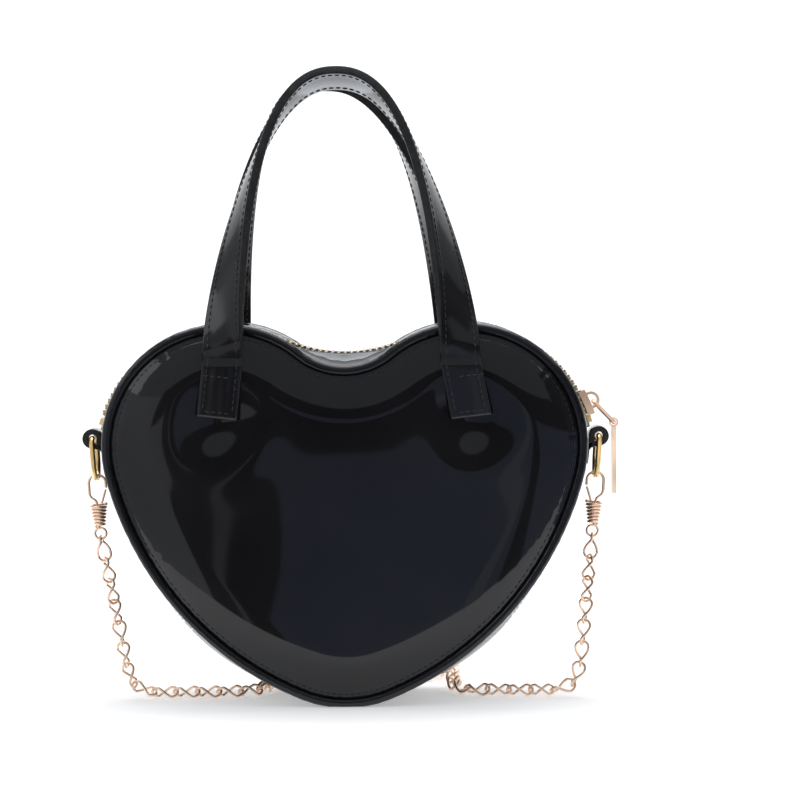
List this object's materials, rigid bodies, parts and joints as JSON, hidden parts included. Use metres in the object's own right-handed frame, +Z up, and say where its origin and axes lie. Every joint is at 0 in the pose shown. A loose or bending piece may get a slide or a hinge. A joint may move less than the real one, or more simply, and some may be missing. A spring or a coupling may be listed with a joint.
{
  "type": "heart shaped purse",
  "caption": "Heart shaped patent purse with padded panels, two twisted strap handles, a zip over the lobes, side rings and a clip-on curb chain shoulder strap.",
  "frame": {"origin": "on the floor under the middle of the heart's tip, where the purse stands", "axes": "X to the viewer's right, Y from the front panel to the back, Z up"},
  "size_m": [0.1908, 0.1117, 0.2254],
  "materials": {
    "patent_leather": "black patent, high gloss",
    "padding": "soft padding sheet",
    "lining": "plain woven lining",
    "zip_tape": "woven tape",
    "gold": "polished gold plating",
    "rose_gold": "polished pale gold plating"
  },
  "bodies": {
    "bag": {"back_padding": "padding", "back_panel": "patent_leather", "chain_coil": "rose_gold", "chain_left_drop": "rose_gold", "chain_left_run": "rose_gold", "chain_right_drop": "rose_gold", "chain_right_run": "rose_gold", "front_handle_tab_left": "patent_leather", "front_handle_tab_right": "patent_leather", "front_padding": "padding", "front_panel": "patent_leather", "front_piping": "patent_leather", "lining_back": "lining", "lining_front": "lining", "lining_gusset": "lining", "lining_top_front": "lining", "lining_top_rear": "lining", "lower_gusset": "patent_leather", "rear_handle_tab_left": "patent_leather", "rear_handle_tab_right": "patent_leather", "rear_piping": "patent_leather", "side_tab_left": "patent_leather", "side_tab_right": "patent_leather", "top_gusset_front": "patent_leather", "top_gusset_rear": "patent_leather", "zip_stops": "gold", "zip_tape_front": "zip_tape", "zip_tape_rear": "zip_tape", "zip_teeth_front": "gold", "zip_teeth_rear": "gold"},
    "front_handle": {"front_handle": "patent_leather"},
    "rear_handle": {"rear_handle": "patent_leather"},
    "zip_slider": {"zip_slider": "rose_gold", "zip_slider_base": "rose_gold", "zip_bridge": "rose_gold"},
    "zip_link": {"zip_connector": "rose_gold"},
    "zip_pull": {"zip_pull_tab": "rose_gold"},
    "left_ring": {"d_ring_left": "gold"},
    "left_clasp": {"clasp_hook_left": "rose_gold", "clasp_winding_left": "rose_gold"},
    "left_gate": {"clasp_gate_left": "rose_gold"},
    "right_ring": {"d_ring_right": "gold"},
    "right_clasp": {"clasp_hook_right": "rose_gold", "clasp_winding_right": "rose_gold"},
    "right_gate": {"clasp_gate_right": "rose_gold"}
  },
  "joints": [
    {"name": "front_handle_fold", "type": "hinge", "parent": "bag", "child": "front_handle", "pos_m": [0, -0.0293, 0.1205], "axis": [1, 0, 0], "range_deg": [-1, 100], "stiffness_Nm_per_rad": 0.08},
    {"name": "rear_handle_fold", "type": "hinge", "parent": "bag", "child": "rear_handle", "pos_m": [0, 0.0293, 0.1205], "axis": [-1, 0, 0], "range_deg": [-1, 100], "stiffness_Nm_per_rad": 0.08},
    {"name": "zip_slide", "type": "hinge", "parent": "bag", "child": "zip_slider", "pos_m": [0.042, 0, 0.0859], "axis": [0, -1, 0], "range_deg": [0, 78]},
    {"name": "zip_connector_swing", "type": "hinge", "parent": "zip_slider", "child": "zip_link", "pos_m": [0.08834, 0, 0.1056], "axis": [0, -1, 0], "range_deg": [0, 60]},
    {"name": "zip_pull_swing", "type": "hinge", "parent": "zip_link", "child": "zip_pull", "pos_m": [0.09556, 0, 0.0981], "axis": [0, -1, 0], "range_deg": [-3, 90]},
    {"name": "left_ring_swing", "type": "hinge", "parent": "bag", "child": "left_ring", "pos_m": [-0.08995, 0, 0.09349], "axis": [0, 1, 0], "range_deg": [-6, 25], "deforming": ["chain_left_drop"]},
    {"name": "left_clasp_swing", "type": "hinge", "parent": "left_ring", "child": "left_clasp", "pos_m": [-0.08904, 0, 0.07852], "axis": [0, 1, 0], "range_deg": [-6, 6], "deforming": ["chain_left_drop"]},
    {"name": "left_gate_open", "type": "hinge", "parent": "left_clasp", "child": "left_gate", "pos_m": [-0.08725, 0, 0.07056], "axis": [0, -1, 0], "range_deg": [0, 22], "stiffness_Nm_per_rad": 0.0000002},
    {"name": "right_ring_swing", "type": "hinge", "parent": "bag", "child": "right_ring", "pos_m": [0.08995, 0, 0.09349], "axis": [0, -1, 0], "range_deg": [-6, 6], "deforming": ["chain_right_drop"]},
    {"name": "right_clasp_swing", "type": "hinge", "parent": "right_ring", "child": "right_clasp", "pos_m": [0.08904, 0, 0.07852], "axis": [0, -1, 0], "range_deg": [-5, 5], "deforming": ["chain_right_drop"]},
    {"name": "right_gate_open", "type": "hinge", "parent": "right_clasp", "child": "right_gate", "pos_m": [0.08725, 0, 0.07056], "axis": [0, 1, 0], "range_deg": [0, 22], "stiffness_Nm_per_rad": 0.0000002}
  ]
}
